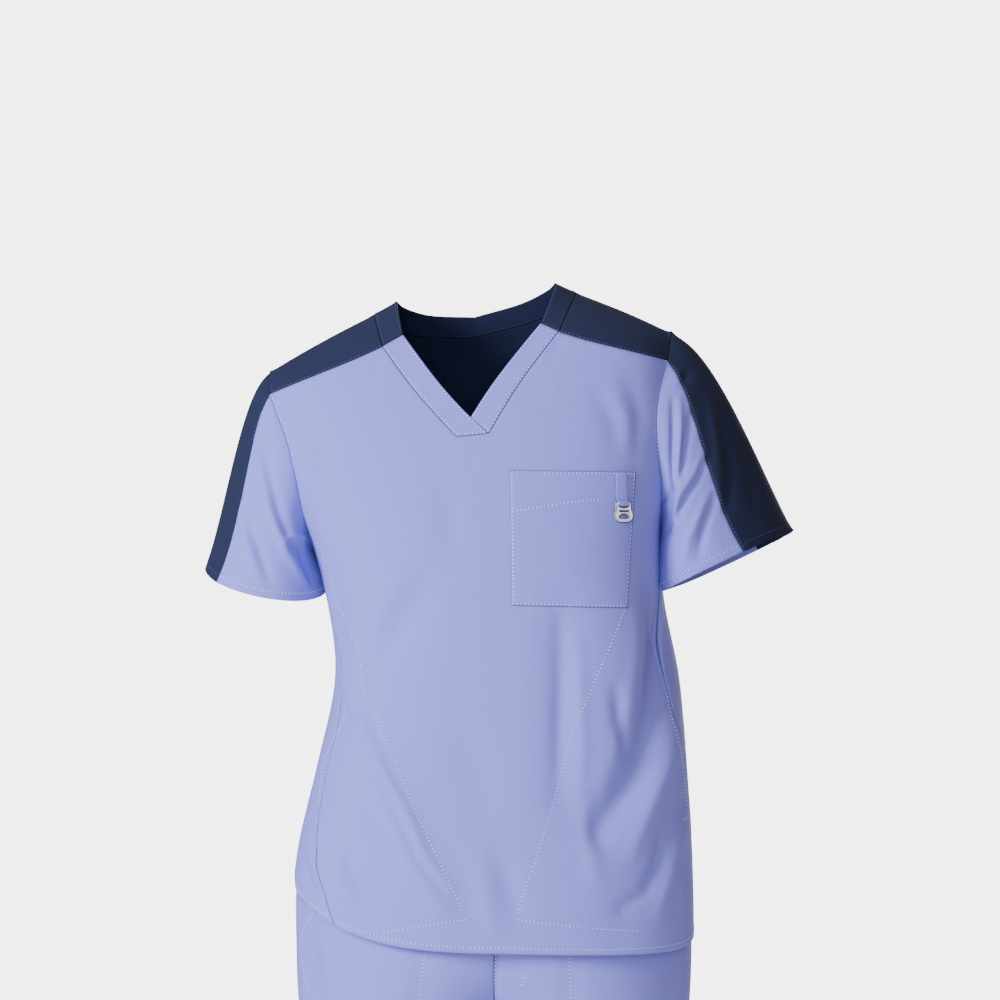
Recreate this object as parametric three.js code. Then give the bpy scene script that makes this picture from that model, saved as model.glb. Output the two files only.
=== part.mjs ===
import * as THREE from 'three';

// Medical scrubs in their worn form: a V-neck top with shoulder yokes and sleeve stripes, and trousers.
// Millimetres. The front faces -Y, the right side of the garment is -X, Z is up.
// The origin is in the middle of the neck, at the mean height of the highest points of its two sides.

const WALL = 1.6;
const SEAM_GAP = 0.42;
const LAID_GAP = 0.9;
const POCKET_WALL = 1.4;

// Counts of grid cells
const SIDE_ROWS = 16;
const ARMHOLE_ROWS = 8;
const FRONT_ROWS = SIDE_ROWS + ARMHOLE_ROWS;
const FRONT_HALF = 16;
const YOKE_CELLS = 8;
const BAND_CELLS = 7;
const BACK_CELLS = 24;
const SHOULDER_CELLS = 6;
const YOKE_LENGTH = SHOULDER_CELLS * 2 + BACK_CELLS;
const SLEEVE_ROWS = 9;
const BAND_ACROSS = 2;
const BAND_LAP = 0.4;
const BAND_LAP_END = 0.94;
const ARMHOLE_BLEND = 4;
const UNDERARM_BLEND = 3;
const RISE_ROWS = 10;
const LEG_ROWS = 12;
const LEG_CELLS = 8;
const POCKET_CELLS = 14;

// Body of the top
const UNDERARM_Z = -258;
const UNDERARM_DIP = 20;
const ROUNDNESS = 2.6;
const COLUMN_BUNCHING = 1.5;
const LEAN = 0.085;
const LEAN_FULL_Z = -150;
const LEAN_NONE_Z = -450;

const TORSO = table(['z', 'centre', 'half', 'front', 'back'], [
  [-710, 19, 212, 142, 135],
  [-600, 19, 210, 140, 121],
  [-500, 27, 196, 134, 106],
  [-404, 33, 182, 130, 105],
  [-330, 22, 177, 130, 115],
  [-258, 11, 183, 128, 122],
  [-200, 4, 200, 120, 119],
  [-150, -3, 209, 106, 112],
  [-100, -8, 213, 84, 100],
  [-60, -6, 214, 66, 86],
  [-30, -3, 214, 45, 70],
  [0, 0, 214, 30, 60],
]);

// Angle of each side seam round the body: 0 is the centre front, 90 is straight to the side
const SIDE_SEAM = table(['z', 'right', 'left'], [
  [-700, 42, 92],
  [-664, 45, 92],
  [-565, 62, 90],
  [-500, 66, 80],
  [-440, 67, 68],
  [-330, 80, 80],
  [-258, 90, 90],
]);

// Height of the hem round the body, lifted over the right hip
const HEM = table(['angle', 'z'], [
  [-180, -705],
  [-120, -660],
  [-90, -604],
  [-70, -625],
  [-50, -648],
  [-35, -665],
  [-20, -677],
  [0, -683],
  [45, -686],
  [70, -682],
  [92, -673],
  [130, -694],
  [180, -705],
]);

const FRONT_ARMHOLE = table(['step', 'y', 'z'], [
  [0, 0, -258],
  [2, -40, -234],
  [4, -60, -190],
  [6, -55, -138],
  [8, -26, -88],
]);

const BACK_ARMHOLE = table(['step', 'y', 'z'], [
  [0, 0, -258],
  [2, 34, -236],
  [4, 50, -204],
  [6, 48, -164],
  [8, 36, -126],
]);

// Neck and yoke, given for one half
const YOKE_SEAM = table(['x', 'z'], [
  [63, -36],
  [92, -49],
  [120, -60],
  [160, -73],
  [208, -88],
]);
const BAND_END_X = 92;
const BAND_CORNER = { x: 17, z: -150 };
const NECK_END = { x: 72, z: -38.5 };
const V_POINT = { x: 0, z: -132 };
const SHOULDER_TIP = { x: 213, y: 12, z: -62 };
const BAND_SEAM = table(['step', 'x', 'y', 'z'], [
  [0, 101, -25, -26],
  [1, 106.5, 12, -11],
  [2, 97, 45, -24],
  [3, 65, 67, -36],
  [4, 0, 76, -44],
]);
const NECK_EDGE = table(['step', 'x', 'y', 'z'], [
  [0, 80, -22, -14],
  [1, 83.3, 8, 0],
  [2, 77, 34, -6],
  [3, 50, 56, -16],
  [4, 0, 66, -22],
]);
const APEX_SHARE = 0.34;
const SHOULDER_SHARE = 0.5;
const TIP_SHARE = 0.405;
const YOKE_BULGE = 7;
const YOKE_BULGE_RISE = 0.4;
const YOKE_CROWN = 3;
const LEFT_NECK_RISE = 5.5;
const LEFT_SHOULDER_RISE = 6;

// Sleeves: the cuff ellipse, its half axes towards the body and towards the front, and the stripe on it
const SLEEVES = {
  right: {
    side: -1,
    centre: [-224.5, 5, -302],
    inward: [63.5, 0, -13],
    forward: [0, -74, -17],
    axis: [-0.34, -0.1, -0.94],
    shoulderOut: 0.85,
    shoulderDown: 0.5,
    shoulderReach: 0.52,
    stripeStart: 139,
    stripeBow: 0.43,
  },
  left: {
    side: 1,
    centre: [268.8, 2, -281.5],
    inward: [-69.5, -34, -31.5],
    forward: [2, -60, 6],
    axis: [0.48, 0, -0.88],
    shoulderOut: 0.95,
    shoulderDown: 0.2,
    shoulderReach: 0.62,
    stripeStart: 98,
    stripeBow: 0.5,
  },
};
const STRIPE_SPAN = 142;
const BOW_FROM = 3;
const BOW_TO = 11;
const SLEEVE_START = 0.45;
const UNDERARM_LEAVE = { out: 0.6, front: 0.4, down: 0.9 };
const SLEEVE_END = 0.75;

// Trousers, given for one half: outer side, middle of the leg, depth of front and back
const TROUSERS = table(['z', 'centre', 'outer', 'leg', 'front', 'back'], [
  [-1565, 19, 168, 106, 72, 80],
  [-1330, 19, 172, 105, 76, 84],
  [-1100, 19, 183, 104, 84, 90],
  [-900, 19, 196, 102.5, 98, 108],
  [-790, 19, 203, 101.5, 110, 118],
  [-745, 19, 207, 84, 118, 121],
  [-700, 19, 209, 58, 126, 122],
  [-600, 19, 207, 16, 124, 108],
  [-540, 24, 190, 0, 117, 97],
  [-500, 27, 182, 0, 113, 93],
]);
const WAIST_TOP_Z = -500;
const WAIST_SEAM_Z = -540;
const CROTCH_Z = -790;
const ANKLE_Z = -1565;

// Chest pocket corners on the front, seen from the front
const POCKET = {
  topRight: { x: 35.2, z: -186.5 },
  topLeft: { x: 166.2, z: -188 },
  bottomLeft: { x: 156.6, z: -329 },
  bottomRight: { x: 37.2, z: -326 },
};

// Tab and ring, in a local frame on the pocket: X to the side, Y into the cloth, Z up
const TAB = { x: 150.4, z: -189, width: 12, length: 32.2, wall: 1.4, lift: 0.5, eye: 2.7, hole: 1.5 };
const RING_WALL = 1.6;

// Half of the ring's outline from its top middle down: the corners that its round edge follows
const RING_EDGE = table(['x', 'z'], [
  [7.2, 0.8],
  [7.4, 1.7],
  [8.6, 1.9],
  [9.2, 0.6],
  [9.2, -3.4],
  [9.0, -6.2],
  [10.1, -8.4],
  [10.7, -11.2],
  [10.6, -14.4],
  [9.2, -17.4],
  [6, -19.2],
]);
const RING_BOTTOM = -19.7;

// Slots of the ring: half width, ends and middle of the upper and the lower edge
const RING_SLOTS = table(['half', 'upper', 'upperMiddle', 'lower', 'lowerMiddle'], [
  [6.4, -0.8, -0.8, -2.6, -4.6],
  [5.6, -7.5, -7.5, -8.4, -8.4],
  [6.1, -13.4, -10.9, -15.1, -15.5],
]);

const LAVENDER = 0xa0a7da;
const NAVY = 0x2d3a5a;
const SILVER = 0xb9bdc6;

// Largest folds of the front, drawn on the front view: depth is positive for a ridge
const FOLDS = [
  { depth: 7, width: 17, points: [[-149, -412], [-101, -513], [-78, -553], [-63, -593], [-38, -627]] },
  { depth: -7, width: 22, points: [[193, -377], [171, -480], [155, -512], [126, -550]] },
  { depth: -4, width: 20, points: [[-138, -586], [-110, -638]] },
  { depth: -5, width: 20, points: [[90, -344], [90, -530]] },
  { depth: -4, width: 18, points: [[219, -538], [193, -601], [150, -646]] },
  { depth: -4, width: 22, points: [[-53, -310], [-85, -354]] },
];

function table(columns, rows) {
  return rows.map((row) => Object.fromEntries(columns.map((column, index) => [column, row[index]])));
}

function mix(from, to, share) {
  return from + (to - from) * share;
}

function limit(value, low, high) {
  return Math.min(Math.max(value, low), high);
}

function slopeAt(rows, key, column, index) {
  const before = rows[Math.max(index - 1, 0)];
  const after = rows[Math.min(index + 1, rows.length - 1)];
  return (after[column] - before[column]) / (after[key] - before[key]);
}

// Smooth reading of one column of a table at a value of its key
function read(rows, key, column, at) {
  const place = limit(at, rows[0][key], rows[rows.length - 1][key]);
  let index = 0;
  while (index < rows.length - 2 && place > rows[index + 1][key]) {
    index += 1;
  }
  const low = rows[index];
  const high = rows[index + 1];
  const span = high[key] - low[key];
  const t = (place - low[key]) / span;
  const rise = t * t * (3 - 2 * t);
  const leave = t * (1 - t) * (1 - t) * span * slopeAt(rows, key, column, index);
  const arrive = -t * t * (1 - t) * span * slopeAt(rows, key, column, index + 1);
  return mix(low[column], high[column], rise) + leave + arrive;
}

function torsoSize(z) {
  return {
    centre: read(TORSO, 'z', 'centre', z),
    half: read(TORSO, 'z', 'half', z),
    front: read(TORSO, 'z', 'front', z),
    back: read(TORSO, 'z', 'back', z),
  };
}

// A point of the leaning body from its place on the upright one
function settle(x, y, z) {
  const share = limit((z - LEAN_NONE_Z) / (LEAN_FULL_Z - LEAN_NONE_Z), 0, 1);
  return new THREE.Vector3(x + torsoSize(z).centre, y, z + LEAN * x * share);
}

function roundPower(value) {
  return Math.sign(value) * Math.abs(value) ** (2 / ROUNDNESS);
}

function ringPlace(angle, z) {
  const size = torsoSize(z);
  const turn = THREE.MathUtils.degToRad(angle);
  const depth = Math.cos(turn) > 0 ? size.front : size.back;
  return { x: size.half * roundPower(Math.sin(turn)), y: -depth * roundPower(Math.cos(turn)) };
}

function depthShare(value, full) {
  return Math.max(1 - Math.abs(value / full) ** ROUNDNESS, 0) ** (1 / ROUNDNESS);
}

function frontAt(x, z) {
  const size = torsoSize(z);
  return settle(x, -size.front * depthShare(x, size.half), z);
}

function backAt(x, z) {
  const size = torsoSize(z);
  return settle(x, size.back * depthShare(x, size.half), z);
}

function armholePlace(rows, step) {
  const y = read(rows, 'step', 'y', step);
  const z = read(rows, 'step', 'z', step);
  const size = torsoSize(z);
  const x = size.half * depthShare(y, y < 0 ? size.front : size.back);
  return { x, y, z };
}

function hemHeight(angle) {
  const wrapped = angle > 180 ? angle - 360 : angle;
  return read(HEM, 'angle', 'z', wrapped);
}

function distanceToLine(x, z, from, to) {
  const dx = to[0] - from[0];
  const dz = to[1] - from[1];
  const share = limit(((x - from[0]) * dx + (z - from[1]) * dz) / (dx * dx + dz * dz), 0, 1);
  return Math.hypot(x - from[0] - dx * share, z - from[1] - dz * share);
}

function foldHeight(x, z) {
  return FOLDS.reduce((sum, fold) => {
    const gaps = fold.points.slice(1).map((to, index) => distanceToLine(x, z, fold.points[index], to));
    return sum + fold.depth * Math.exp(-((Math.min(...gaps) / fold.width) ** 2));
  }, 0);
}

// Top edge of one half of the front: yoke seam, then the neckband, then the short edge under the V
function frontTopPlace(cell) {
  if (cell <= YOKE_CELLS) {
    const corner = armholePlace(FRONT_ARMHOLE, ARMHOLE_ROWS);
    const x = mix(corner.x, BAND_END_X, cell / YOKE_CELLS);
    return { x, z: cell === 0 ? corner.z : read(YOKE_SEAM, 'x', 'z', x) };
  }
  const share = (cell - YOKE_CELLS) / BAND_CELLS;
  if (share <= 1) {
    const endZ = read(YOKE_SEAM, 'x', 'z', BAND_END_X);
    return { x: mix(BAND_END_X, BAND_CORNER.x, share), z: mix(endZ, BAND_CORNER.z, share) };
  }
  return { x: 0, z: BAND_CORNER.z };
}

function lowerPoint(angle, hemAngle, dip, share) {
  const z = mix(hemHeight(hemAngle), UNDERARM_Z - dip, share);
  const place = ringPlace(angle(z), z);
  return settle(place.x, place.y, z);
}

function frontPoint(column, row) {
  const side = Math.sign(column - FRONT_HALF);
  const cell = FRONT_HALF - Math.abs(column - FRONT_HALF);
  const across = side * ((FRONT_HALF - cell) / FRONT_HALF) ** COLUMN_BUNCHING;
  const seam = side < 0 ? 'right' : 'left';
  const dip = UNDERARM_DIP * limit(cell / UNDERARM_BLEND, 0, 1);
  const angle = (z) => across * read(SIDE_SEAM, 'z', seam, z);
  if (row <= SIDE_ROWS) {
    const point = lowerPoint(angle, angle(SIDE_SEAM[0].z), dip, row / SIDE_ROWS);
    const free = limit((cell + 1) / 3, 0, 1) * limit((SIDE_ROWS - row) / 2, 0, 1);
    point.y -= foldHeight(point.x, point.z) * (cell === 0 ? 0 : free);
    return point;
  }
  const step = row - SIDE_ROWS;
  const hole = armholePlace(FRONT_ARMHOLE, step);
  if (cell === 0) {
    return settle(side * hole.x, hole.y, hole.z);
  }
  const top = frontTopPlace(cell);
  const holeShare = (hole.z - UNDERARM_Z) / (armholePlace(FRONT_ARMHOLE, ARMHOLE_ROWS).z - UNDERARM_Z);
  const share = mix(holeShare, step / ARMHOLE_ROWS, limit(cell / ARMHOLE_BLEND, 0, 1));
  const lowZ = UNDERARM_Z - dip;
  const lowX = Math.abs(ringPlace(angle(lowZ), lowZ).x);
  return frontAt(side * mix(lowX, top.x, share), mix(lowZ, top.z, share));
}

function backPoint(column, row) {
  const cell = Math.min(column, BACK_CELLS - column);
  const dip = UNDERARM_DIP * limit(cell / UNDERARM_BLEND, 0, 1);
  const across = column / BACK_CELLS;
  const angle = (z) => mix(read(SIDE_SEAM, 'z', 'left', z), 360 - read(SIDE_SEAM, 'z', 'right', z), across);
  if (row <= SIDE_ROWS) {
    return lowerPoint(angle, angle(SIDE_SEAM[0].z), dip, row / SIDE_ROWS);
  }
  const step = row - SIDE_ROWS;
  const hole = armholePlace(BACK_ARMHOLE, step);
  const side = column < BACK_CELLS / 2 ? 1 : -1;
  if (cell === 0) {
    return settle(side * hole.x, hole.y, hole.z);
  }
  const corner = armholePlace(BACK_ARMHOLE, ARMHOLE_ROWS);
  const holeShare = (hole.z - UNDERARM_Z) / (corner.z - UNDERARM_Z);
  const share = mix(holeShare, step / ARMHOLE_ROWS, limit(cell / ARMHOLE_BLEND, 0, 1));
  const lowZ = UNDERARM_Z - dip;
  const topX = mix(corner.x, -corner.x, across);
  return backAt(mix(ringPlace(angle(lowZ), lowZ).x, topX, share), mix(lowZ, corner.z, share));
}

function grid(columns, rows, pointAt) {
  return Array.from({ length: rows + 1 }, (_, row) =>
    Array.from({ length: columns + 1 }, (__, column) => pointAt(column, row)));
}

// Points of a neck line for one half, first its end at the front and then the points of its table
function neckPoint(start, rows, share) {
  const count = rows.length;
  const curve = new THREE.CatmullRomCurve3(
    [start, ...rows.map((row) => new THREE.Vector3(row.x, row.y, row.z))],
    false,
    'centripetal',
  );
  curve.arcLengthDivisions = count * 40;
  return curve.getPointAt(share);
}

// Share of a line over the shoulder at a step: half of the steps lie before its highest point
function shoulderShare(step, apexShare, endShare) {
  const half = SHOULDER_CELLS / 2;
  return step <= half ? (apexShare * step) / half : mix(apexShare, endShare, (step - half) / half);
}

function neckShare(step) {
  if (step <= SHOULDER_CELLS) {
    return shoulderShare(step, APEX_SHARE, SHOULDER_SHARE);
  }
  return mix(SHOULDER_SHARE, 1, (step - SHOULDER_CELLS) / (BACK_CELLS / 2));
}

// One half of a line round the neck, mirrored for the right side
function neckLine(startX, startZ, rows, along) {
  const step = Math.min(along, YOKE_LENGTH - along);
  const side = along <= YOKE_LENGTH / 2 ? -1 : 1;
  const size = torsoSize(startZ);
  const start = new THREE.Vector3(startX, -size.front * depthShare(startX, size.half), startZ);
  const place = neckPoint(start, rows, neckShare(step));
  const rise = side < 0 ? 0 : LEFT_NECK_RISE * Math.sin(Math.PI * neckShare(step));
  return settle(side * place.x, place.y, place.z + rise);
}

function bandSeam(along) {
  return neckLine(BAND_END_X, read(YOKE_SEAM, 'x', 'z', BAND_END_X), BAND_SEAM, along);
}

function neckEdge(along) {
  return neckLine(NECK_END.x, NECK_END.z, NECK_EDGE, along);
}

// Outer edge of the yoke: armhole from front to back, back seam, armhole from back to front
function yokeOuter(along, back) {
  const step = Math.min(along, YOKE_LENGTH - along);
  const side = along <= YOKE_LENGTH / 2 ? -1 : 1;
  if (step >= SHOULDER_CELLS) {
    return back[FRONT_ROWS][BACK_CELLS - (along - SHOULDER_CELLS)];
  }
  const front = armholePlace(FRONT_ARMHOLE, ARMHOLE_ROWS);
  const rear = armholePlace(BACK_ARMHOLE, ARMHOLE_ROWS);
  const curve = new THREE.CatmullRomCurve3(
    [front, SHOULDER_TIP, rear].map((place) => new THREE.Vector3(place.x, place.y, place.z)),
    false,
    'centripetal',
  );
  const place = curve.getPointAt(shoulderShare(step, TIP_SHARE, 1));
  const rise = side < 0 ? 0 : LEFT_SHOULDER_RISE * Math.sin((Math.PI * step) / SHOULDER_CELLS);
  return settle(side * place.x, place.y, place.z + rise);
}

function yokeGrid(front, back) {
  return grid(YOKE_LENGTH, YOKE_CELLS, (along, cell) => {
    const outer = yokeOuter(along, back);
    const inner = bandSeam(along);
    const share = cell / YOKE_CELLS;
    const step = Math.min(along, YOKE_LENGTH - along);
    const seamColumn = along < YOKE_LENGTH / 2 ? cell : FRONT_HALF * 2 - cell;
    const first = front[FRONT_ROWS][along < YOKE_LENGTH / 2 ? 0 : FRONT_HALF * 2];
    const last = bandSeam(along < YOKE_LENGTH / 2 ? 0 : YOKE_LENGTH);
    const seam = front[FRONT_ROWS][seamColumn];
    const straight = first.clone().lerp(last, share);
    const point = outer.clone().lerp(inner, share);
    point.addScaledVector(seam.clone().sub(straight), limit(1 - step / 3, 0, 1));
    const crown = 4 * share * (1 - share);
    const bulge = YOKE_BULGE * crown * limit((step - 3) / SHOULDER_CELLS, 0, 1);
    const ridge = Math.sin(Math.PI * limit(step / SHOULDER_CELLS, 0, 1));
    point.y += bulge;
    point.z += bulge * YOKE_BULGE_RISE + YOKE_CROWN * crown * ridge;
    return point;
  });
}

// Front neckband of one side, from the yoke seam down to the V
function bandGrid(side, front) {
  const extra = side < 0 ? 2 : 0;
  const rows = BAND_CELLS + extra;
  const tip = frontAt(V_POINT.x, V_POINT.z);
  return grid(BAND_ACROSS, rows, (across, row) => {
    const column = FRONT_HALF + side * (FRONT_HALF - YOKE_CELLS - row);
    const outer = front[FRONT_ROWS][column];
    const share = row <= BAND_CELLS
      ? row / (BAND_CELLS + extra * BAND_LAP)
      : mix(BAND_LAP_END, 1, row - BAND_CELLS - 1);
    const inner = row === rows
      ? tip
      : frontAt(side * mix(NECK_END.x, V_POINT.x, share), mix(NECK_END.z, V_POINT.z, share));
    return outer.clone().lerp(inner, across / BAND_ACROSS);
  });
}

function backBandGrid() {
  return grid(YOKE_LENGTH, BAND_ACROSS, (along, across) =>
    bandSeam(along).lerp(neckEdge(along), across / BAND_ACROSS));
}

// Armhole of one side from the underarm up the front, over the shoulder and down the back
function armholeLoop(side, front, back, yoke) {
  const frontColumn = side < 0 ? 0 : FRONT_HALF * 2;
  const backColumn = side < 0 ? BACK_CELLS : 0;
  const points = [];
  for (let row = SIDE_ROWS; row < FRONT_ROWS; row += 1) {
    points.push(front[row][frontColumn]);
  }
  for (let step = 0; step < SHOULDER_CELLS; step += 1) {
    points.push(yoke[0][side < 0 ? step : YOKE_LENGTH - step]);
  }
  for (let row = FRONT_ROWS; row >= SIDE_ROWS; row -= 1) {
    points.push(back[row][backColumn]);
  }
  return points;
}

function cuffAngle(cell, start) {
  const stripeEnd = ARMHOLE_ROWS + SHOULDER_CELLS;
  if (cell <= ARMHOLE_ROWS) {
    return (start * cell) / ARMHOLE_ROWS;
  }
  if (cell <= stripeEnd) {
    return start + (STRIPE_SPAN * (cell - ARMHOLE_ROWS)) / SHOULDER_CELLS;
  }
  return mix(start + STRIPE_SPAN, 360, (cell - stripeEnd) / ARMHOLE_ROWS);
}

function vector(list) {
  return new THREE.Vector3(...list);
}

// The stripe's front seam bows towards the body halfway down the sleeve
function bowedStripe(points, bow) {
  return points.map((line, row) => line.map((point, cell) => {
    const rising = (cell - BOW_FROM) / (ARMHOLE_ROWS - BOW_FROM);
    const falling = (BOW_TO - cell) / (BOW_TO - ARMHOLE_ROWS);
    const near = Math.min(rising, falling);
    if (near <= 0) {
      return point;
    }
    return point.clone().lerp(line[cell - 1], bow * near * Math.sin((row / SLEEVE_ROWS) * Math.PI));
  }));
}

function sleeveGrid(sleeve, loop) {
  const cells = loop.length - 1;
  const points = grid(cells, SLEEVE_ROWS, (cell, row) => {
    const start = loop[cell];
    const turn = THREE.MathUtils.degToRad(cuffAngle(cell, sleeve.stripeStart));
    const end = vector(sleeve.centre)
      .addScaledVector(vector(sleeve.inward), Math.cos(turn))
      .addScaledVector(vector(sleeve.forward), Math.sin(turn));
    const round = (cell / cells) * Math.PI * 2;
    const top = (1 - Math.cos(round)) / 2;
    const leave = new THREE.Vector3(
      sleeve.side * mix(UNDERARM_LEAVE.out, sleeve.shoulderOut, top),
      -UNDERARM_LEAVE.front * Math.sin(round),
      -mix(UNDERARM_LEAVE.down, sleeve.shoulderDown, top),
    );
    const reach = start.distanceTo(end);
    const share = row / SLEEVE_ROWS;
    const rise = share * share * (3 - 2 * share);
    return start.clone()
      .lerp(end, rise)
      .addScaledVector(leave, share * (1 - share) ** 2 * reach * mix(SLEEVE_START, sleeve.shoulderReach, top))
      .addScaledVector(vector(sleeve.axis), -(share ** 2) * (1 - share) * reach * SLEEVE_END);
  });
  return bowedStripe(points, sleeve.stripeBow);
}

function columnsOf(points, from, to) {
  return points.map((row) => row.slice(from, to + 1));
}

function trouserPoint(side, face, cell, z) {
  const size = Object.fromEntries(['centre', 'outer', 'leg', 'front', 'back']
    .map((column) => [column, read(TROUSERS, 'z', column, z)]));
  const reach = size.outer - size.leg;
  const last = z <= CROTCH_Z ? Math.PI : Math.acos(limit(-size.leg / reach, -1, 1));
  const turn = (last * cell) / LEG_CELLS;
  const depth = face < 0 ? size.front : size.back;
  const x = z >= CROTCH_Z && cell === LEG_CELLS ? 0 : size.leg + reach * Math.cos(turn);
  return new THREE.Vector3(size.centre + side * x, face * depth * Math.sin(turn), z);
}

function trouserHeight(row) {
  if (row <= RISE_ROWS) {
    return mix(WAIST_SEAM_Z, CROTCH_Z, row / RISE_ROWS);
  }
  return mix(CROTCH_Z, ANKLE_Z, (row - RISE_ROWS) / LEG_ROWS);
}

function legGrid(side, face) {
  return grid(LEG_CELLS, RISE_ROWS + LEG_ROWS, (cell, row) =>
    trouserPoint(side, face, cell, trouserHeight(row)));
}

// Waistband, joined at the centre back
function waistbandGrid() {
  return grid(LEG_CELLS * 4, 2, (column, row) => {
    const quarter = Math.floor(Math.min(column, LEG_CELLS * 4 - 1) / LEG_CELLS);
    const along = column - quarter * LEG_CELLS;
    const side = quarter < 2 ? -1 : 1;
    const face = quarter === 0 || quarter === 3 ? 1 : -1;
    const cell = quarter % 2 === 0 ? LEG_CELLS - along : along;
    return trouserPoint(side, face, cell, mix(WAIST_TOP_Z, WAIST_SEAM_Z, row / 2));
  });
}

// Point of a grid under a place of the front view
function dropOn(points, x, z) {
  for (let row = 0; row < points.length - 1; row += 1) {
    for (let column = 0; column < points[row].length - 1; column += 1) {
      const a = points[row][column];
      const b = points[row][column + 1];
      const c = points[row + 1][column + 1];
      const d = points[row + 1][column];
      for (const corners of [[a, b, c], [a, c, d]]) {
        const flat = corners.map((corner) => new THREE.Vector3(corner.x, corner.z, 0));
        const weights = new THREE.Vector3();
        const found = THREE.Triangle.getBarycoord(new THREE.Vector3(x, z, 0), ...flat, weights);
        if (found && Math.min(weights.x, weights.y, weights.z) >= 0) {
          const y = weights.x * corners[0].y + weights.y * corners[1].y + weights.z * corners[2].y;
          return new THREE.Vector3(x, y, z);
        }
      }
    }
  }
  throw new Error(`no cloth at ${x}, ${z}`);
}

function pocketGrid(front) {
  return grid(POCKET_CELLS, POCKET_CELLS, (column, row) => {
    const across = column / POCKET_CELLS;
    const up = row / POCKET_CELLS;
    const place = (key) => mix(
      mix(POCKET.bottomRight[key], POCKET.bottomLeft[key], across),
      mix(POCKET.topRight[key], POCKET.topLeft[key], across),
      up,
    );
    return dropOn(front, place('x'), place('z'));
  });
}

function positionKey(point) {
  return [point.x, point.y, point.z].map((value) => Math.round(value * 100)).join(',');
}

// Directions out of the cloth, shared by all panels that meet at a point
function addNormals(normals, points, outward) {
  for (let row = 0; row < points.length - 1; row += 1) {
    for (let column = 0; column < points[row].length - 1; column += 1) {
      const [low, high] = [points[row], points[row + 1]];
      const corners = [low[column], low[column + 1], high[column + 1], high[column]];
      const first = corners[2].clone().sub(corners[0]);
      const second = corners[3].clone().sub(corners[1]);
      const area = first.cross(second).multiplyScalar(outward);
      for (const corner of corners) {
        const key = positionKey(corner);
        normals.set(key, (normals.get(key) ?? new THREE.Vector3()).add(area));
      }
    }
  }
}

// Neighbours of an edge point along the rim of its panel, before and after it
function rimNeighbours(rows, columns, row, column) {
  const rim = [];
  for (let at = 0; at < columns - 1; at += 1) rim.push([0, at]);
  for (let at = 0; at < rows - 1; at += 1) rim.push([at, columns - 1]);
  for (let at = columns - 1; at > 0; at -= 1) rim.push([rows - 1, at]);
  for (let at = rows - 1; at > 0; at -= 1) rim.push([at, 0]);
  const place = rim.findIndex((spot) => spot[0] === row && spot[1] === column);
  return place < 0 ? [] : [rim[(place + rim.length - 1) % rim.length], rim[(place + 1) % rim.length]];
}

// Move of an edge point into its panel that leaves half the seam gap beside both of its rim segments
function insetAt(points, row, column, normal) {
  const rows = points.length;
  const columns = points[0].length;
  const here = points[row][column];
  const middle = points[limit(row, 1, rows - 2)][limit(column, 1, columns - 2)];
  const [before, after] = rimNeighbours(rows, columns, row, column);
  if (!before) {
    return new THREE.Vector3();
  }
  const moves = [before, after].map(([otherRow, otherColumn]) => {
    const along = points[otherRow][otherColumn].clone().sub(here);
    const move = along.cross(normal).normalize();
    return move.dot(middle.clone().sub(here)) < 0 ? move.negate() : move;
  });
  const spread = Math.max(1 + moves[0].dot(moves[1]), 0.2);
  return moves[0].add(moves[1]).multiplyScalar(SEAM_GAP / 2 / spread);
}

function addQuad(faces, a, b, c, d) {
  faces.push(a, b, c, a, c, d);
}

// Closed wall of one cloth panel
function wallMesh(name, colour, points, outward, thickness, normals) {
  const rows = points.length;
  const columns = points[0].length;
  const outer = [];
  const inner = [];
  points.forEach((line, row) => line.forEach((point, column) => {
    const normal = normals.get(positionKey(point)).clone().normalize();
    const place = point.clone().add(insetAt(points, row, column, normal));
    outer.push(place);
    inner.push(place.clone().addScaledVector(normal, -thickness));
  }));
  const half = rows * columns;
  const at = (row, column) => row * columns + column;
  const faces = [];
  const quad = outward > 0
    ? (a, b, c, d) => addQuad(faces, a, b, c, d)
    : (a, b, c, d) => addQuad(faces, d, c, b, a);
  for (let row = 0; row < rows - 1; row += 1) {
    for (let column = 0; column < columns - 1; column += 1) {
      const corners = [at(row, column), at(row, column + 1), at(row + 1, column + 1), at(row + 1, column)];
      quad(...corners);
      quad(...corners.toReversed().map((index) => index + half));
    }
    quad(at(row + 1, 0), at(row + 1, 0) + half, at(row, 0) + half, at(row, 0));
    const end = at(row, columns - 1);
    quad(end, end + half, end + columns + half, end + columns);
  }
  for (let column = 0; column < columns - 1; column += 1) {
    quad(at(0, column), at(0, column) + half, at(0, column + 1) + half, at(0, column + 1));
    const top = at(rows - 1, 0);
    quad(top + column + 1, top + column + 1 + half, top + column + half, top + column);
  }
  const geometry = new THREE.BufferGeometry();
  const places = [...outer, ...inner].flatMap((place) => place.toArray());
  geometry.setAttribute('position', new THREE.Float32BufferAttribute(places, 3));
  geometry.setIndex(faces);
  geometry.computeVertexNormals();
  return namedMesh(name, colour, geometry);
}

function namedMesh(name, colour, geometry) {
  const mesh = new THREE.Mesh(geometry, new THREE.MeshStandardMaterial({ color: colour }));
  mesh.name = name;
  return mesh;
}

function raised(points, distance) {
  const normals = new Map();
  addNormals(normals, points, 1);
  return points.map((line) => line.map((point) =>
    point.clone().addScaledVector(normals.get(positionKey(point)).clone().normalize(), distance)));
}

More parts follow.
